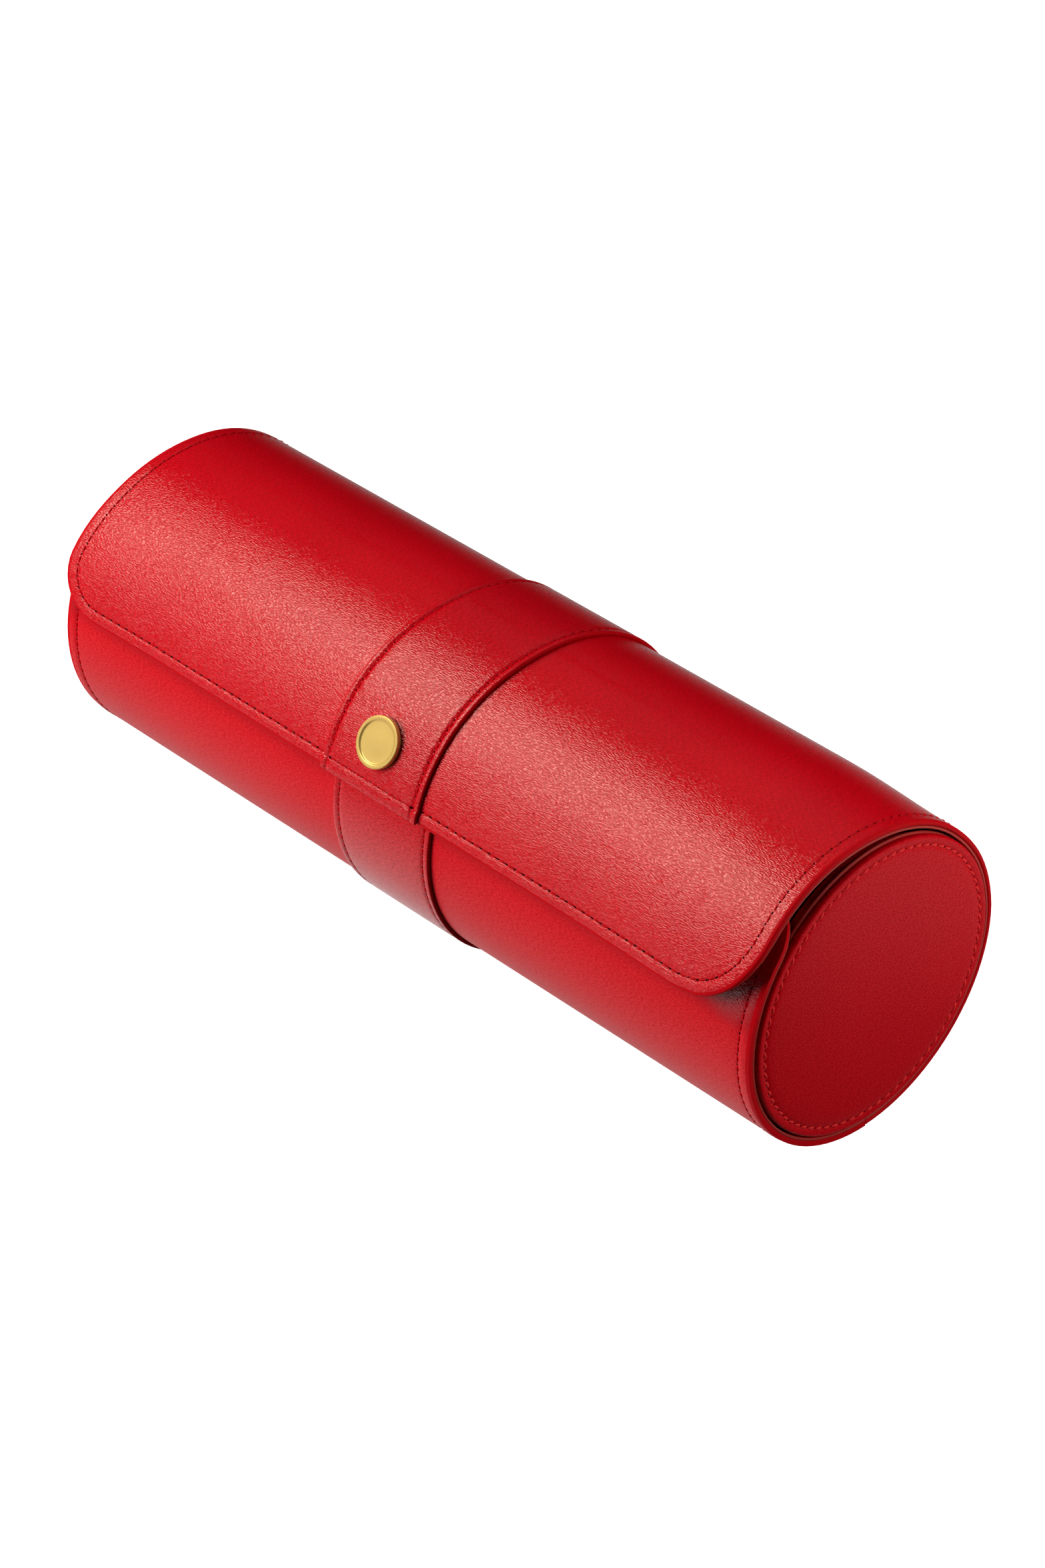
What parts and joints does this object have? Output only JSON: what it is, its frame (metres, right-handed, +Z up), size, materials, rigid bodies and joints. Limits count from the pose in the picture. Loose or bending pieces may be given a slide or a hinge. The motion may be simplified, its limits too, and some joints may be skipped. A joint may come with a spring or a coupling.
{
  "type": "watch roll",
  "caption": "Cylindrical stiff leather watch roll with a hinged flap over a front lip, round stitched ends, a band round the middle and soft watch pillows inside.",
  "frame": {"origin": "on the supporting surface, under the roll's axis at mid length", "axes": "+X along the roll towards the end seen in the picture, +Z up, -Y the front where the flap's edge is, +Y the hinge side"},
  "size_m": [0.2362, 0.0841, 0.0842],
  "materials": {
    "red_leather": "embossed wavy grain, satin",
    "band_leather": "embossed wavy grain, slightly duller",
    "suede_lining": "short nap suede",
    "pillow_suede": "short nap suede over foam",
    "board": "grey-brown fibre board",
    "foam": "open cell foam",
    "gilt_brass": "matte gilt",
    "magnet_steel": "nickel plated",
    "clinch_steel": "stamped"
  },
  "bodies": {
    "case": {"lower_leather": "red_leather", "lower_stiffener": "board", "lower_lining": "suede_lining", "lower_band": "band_leather", "back_hinge_leather": "red_leather", "back_hinge_band": "band_leather", "front_hinge_leather": "red_leather", "front_hinge_band": "band_leather", "cradle_board": "board", "cradle_lining": "suede_lining", "left_wall_leather": "red_leather", "left_wall_board": "board", "left_wall_lining": "suede_lining", "left_disc_leather": "red_leather", "left_disc_board": "board", "left_divider_board": "board", "left_divider_facings": "suede_lining", "right_wall_leather": "red_leather", "right_wall_board": "board", "right_wall_lining": "suede_lining", "right_disc_leather": "red_leather", "right_disc_board": "board", "right_divider_board": "board", "right_divider_facings": "suede_lining"},
    "flap": {"flap_leather": "red_leather", "flap_stiffener": "board", "flap_lining": "suede_lining", "flap_band": "band_leather", "flap_magnets": "magnet_steel", "badge": "gilt_brass", "badge_clinch": "clinch_steel"},
    "lip": {"lip_leather": "red_leather", "lip_stiffener": "board", "lip_lining": "suede_lining", "lip_band": "band_leather", "lip_magnets": "magnet_steel"},
    "pillow_1": {"pillow_1_sleeve": "pillow_suede", "pillow_1_foam": "foam", "pillow_1_ends": "pillow_suede"},
    "pillow_2": {"pillow_2_sleeve": "pillow_suede", "pillow_2_foam": "foam", "pillow_2_ends": "pillow_suede"},
    "pillow_3": {"pillow_3_sleeve": "pillow_suede", "pillow_3_foam": "foam", "pillow_3_ends": "pillow_suede"}
  },
  "joints": [
    {"name": "flap_hinge", "type": "hinge", "parent": "case", "child": "flap", "pos_m": [0, 0.03883, 0.0486], "axis": [-1, 0, 0], "range_deg": [0, 140], "deforming": ["back_hinge_leather", "back_hinge_band"]},
    {"name": "lip_hinge", "type": "hinge", "parent": "case", "child": "lip", "pos_m": [0, -0.03776, 0.05262], "axis": [1, 0, 0], "range_deg": [0, 70], "deforming": ["front_hinge_leather", "front_hinge_band"]},
    {"name": "pillow_1_lift", "type": "slide", "parent": "case", "child": "pillow_1", "axis": [0, 0, 1], "range_m": [0, 0.085]},
    {"name": "pillow_2_lift", "type": "slide", "parent": "case", "child": "pillow_2", "axis": [0, 0, 1], "range_m": [0, 0.085]},
    {"name": "pillow_3_lift", "type": "slide", "parent": "case", "child": "pillow_3", "axis": [0, 0, 1], "range_m": [0, 0.085]}
  ],
  "couplings": [
    {"joint": "lip_hinge", "follows": "flap_hinge", "ratio": 0.5},
    {"joint": "pillow_1_lift", "follows": "flap_hinge", "m_per_rad": 0.034786},
    {"joint": "pillow_2_lift", "follows": "flap_hinge", "m_per_rad": 0.034786},
    {"joint": "pillow_3_lift", "follows": "flap_hinge", "m_per_rad": 0.034786}
  ]
}
